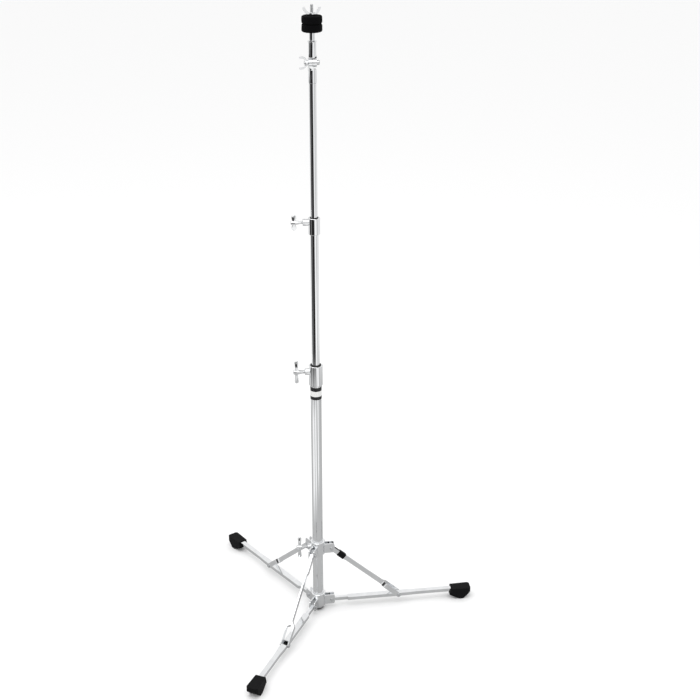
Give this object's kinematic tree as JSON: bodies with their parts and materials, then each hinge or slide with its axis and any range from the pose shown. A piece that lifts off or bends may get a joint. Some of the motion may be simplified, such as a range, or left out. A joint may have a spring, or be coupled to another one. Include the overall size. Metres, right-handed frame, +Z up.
{
  "type": "cymbal stand",
  "caption": "Straight cymbal stand on a low folding tripod: telescoping chrome tubes with clamp screws, a tilter, felt washers and a wing nut.",
  "frame": {"origin": "middle of the footprint box on the floor; the mast stands at x = -0.0923 m, y = 0", "axes": "+Z up along the mast; +X along the first leg; the clamp screws point to -X"},
  "size_m": [0.5954, 0.6856, 1.495],
  "materials": {
    "chrome": "mirror chrome plate",
    "plated_steel": "bright plated steel",
    "black_rubber": "moulded black rubber",
    "black_felt": "pressed black felt",
    "black_nylon": "black nylon",
    "black_band": "glossy black band",
    "label": "bare pale band"
  },
  "bodies": {
    "base": {"base_tube": "chrome", "base_plug": "black_nylon", "lower_black_band": "black_band", "label_band": "label", "upper_black_band": "black_band", "lower_clamp": "chrome", "lower_collar": "chrome", "lower_pin_1": "plated_steel", "lower_pin_2": "plated_steel", "lower_pin_3": "plated_steel"},
    "upper_collar": {"upper_collar": "chrome", "upper_pin_1": "plated_steel", "upper_pin_2": "plated_steel", "upper_pin_3": "plated_steel"},
    "collar_screw": {"collar_wing_screw": "chrome"},
    "lower_screw": {"lower_t_screw": "chrome"},
    "middle_turn": {"lower_bushing": "black_nylon"},
    "middle_mast": {"middle_tube": "chrome", "upper_clamp": "chrome"},
    "upper_screw": {"upper_t_screw": "chrome"},
    "top_turn": {"upper_bushing": "black_nylon"},
    "top_mast": {"top_tube": "chrome", "tilter_lower": "chrome", "tilter_bolt": "plated_steel"},
    "tilt_nut": {"tilter_wing_nut": "chrome"},
    "tilt_head": {"tilter_upper": "chrome", "seat_post": "chrome", "threaded_stud": "plated_steel", "cymbal_sleeve": "black_nylon", "lower_felt": "black_felt", "upper_felt": "black_felt"},
    "top_nut": {"top_wing_nut": "chrome"},
    "leg_1": {"leg_1": "chrome", "leg_pin_1": "plated_steel", "foot_1": "black_rubber"},
    "strut_1": {"strut_1": "chrome", "strut_left_rivet_1": "plated_steel", "strut_right_rivet_1": "plated_steel", "strut_sleeve": "black_rubber"},
    "leg_2": {"leg_2": "chrome", "leg_pin_2": "plated_steel", "foot_2": "black_rubber"},
    "strut_2": {"strut_2": "chrome", "strut_left_rivet_2": "plated_steel", "strut_right_rivet_2": "plated_steel"},
    "leg_3": {"leg_3": "chrome", "leg_pin_3": "plated_steel", "foot_3": "black_rubber"},
    "strut_3": {"strut_3": "chrome", "strut_left_rivet_3": "plated_steel", "strut_right_rivet_3": "plated_steel"}
  },
  "joints": [
    {"name": "collar_slide", "type": "slide", "parent": "base", "child": "upper_collar", "axis": [0, 0, 1], "range_m": [0, 0.2447]},
    {"name": "leg_1_fold", "type": "hinge", "parent": "base", "child": "leg_1", "pos_m": [-0.05884, 0, 0.024], "axis": [0, -1, 0], "range_deg": [0, 82.2]},
    {"name": "strut_1_fold", "type": "hinge", "parent": "upper_collar", "child": "strut_1", "pos_m": [-0.05884, 0, 0.174], "axis": [0, 1, 0], "range_deg": [0, 42.86]},
    {"name": "leg_2_fold", "type": "hinge", "parent": "base", "child": "leg_2", "pos_m": [-0.10909, 0.02901, 0.024], "axis": [0.866, 0.5, 0], "range_deg": [0, 82.2]},
    {"name": "strut_2_fold", "type": "hinge", "parent": "upper_collar", "child": "strut_2", "pos_m": [-0.10909, 0.02901, 0.174], "axis": [-0.866, -0.5, 0], "range_deg": [0, 42.86]},
    {"name": "leg_3_fold", "type": "hinge", "parent": "base", "child": "leg_3", "pos_m": [-0.10909, -0.02901, 0.024], "axis": [-0.866, 0.5, 0], "range_deg": [0, 82.2]},
    {"name": "strut_3_fold", "type": "hinge", "parent": "upper_collar", "child": "strut_3", "pos_m": [-0.10909, -0.02901, 0.174], "axis": [0.866, -0.5, 0], "range_deg": [0, 42.86]},
    {"name": "collar_screw_turn", "type": "hinge", "parent": "upper_collar", "child": "collar_screw", "pos_m": [-0.09234, 0, 0.182], "axis": [-1, 0, 0], "continuous": true},
    {"name": "lower_screw_turn", "type": "hinge", "parent": "base", "child": "lower_screw", "pos_m": [-0.09234, 0, 0.657], "axis": [-1, 0, 0], "continuous": true},
    {"name": "middle_tube_turn", "type": "hinge", "parent": "base", "child": "middle_turn", "pos_m": [-0.09234, 0, 0.66], "axis": [0, 0, 1], "continuous": true},
    {"name": "middle_tube_slide", "type": "slide", "parent": "middle_turn", "child": "middle_mast", "axis": [0, 0, 1], "range_m": [-0.3, 0.2]},
    {"name": "upper_screw_turn", "type": "hinge", "parent": "middle_mast", "child": "upper_screw", "pos_m": [-0.09234, 0, 1.0209], "axis": [-1, 0, 0], "continuous": true},
    {"name": "top_tube_turn", "type": "hinge", "parent": "middle_mast", "child": "top_turn", "pos_m": [-0.09234, 0, 1.02], "axis": [0, 0, 1], "continuous": true},
    {"name": "top_tube_slide", "type": "slide", "parent": "top_turn", "child": "top_mast", "axis": [0, 0, 1], "range_m": [-0.28, 0.19]},
    {"name": "tilter_tilt", "type": "hinge", "parent": "top_mast", "child": "tilt_head", "pos_m": [-0.09234, 0, 1.3737], "axis": [1, 0, 0], "range_deg": [-90, 90]},
    {"name": "tilter_nut_turn", "type": "hinge", "parent": "top_mast", "child": "tilt_nut", "pos_m": [-0.09234, 0, 1.3737], "axis": [-1, 0, 0], "continuous": true},
    {"name": "top_nut_turn", "type": "hinge", "parent": "tilt_head", "child": "top_nut", "pos_m": [-0.09234, 0, 1.48], "axis": [0, 0, 1], "continuous": true}
  ],
  "couplings": [
    {"joint": "leg_1_fold", "follows": "collar_slide", "rad_per_m": 5.8487},
    {"joint": "strut_1_fold", "follows": "collar_slide", "rad_per_m": 3.0429},
    {"joint": "leg_2_fold", "follows": "collar_slide", "rad_per_m": 5.8487},
    {"joint": "strut_2_fold", "follows": "collar_slide", "rad_per_m": 3.0429},
    {"joint": "leg_3_fold", "follows": "collar_slide", "rad_per_m": 5.8487},
    {"joint": "strut_3_fold", "follows": "collar_slide", "rad_per_m": 3.0429}
  ]
}
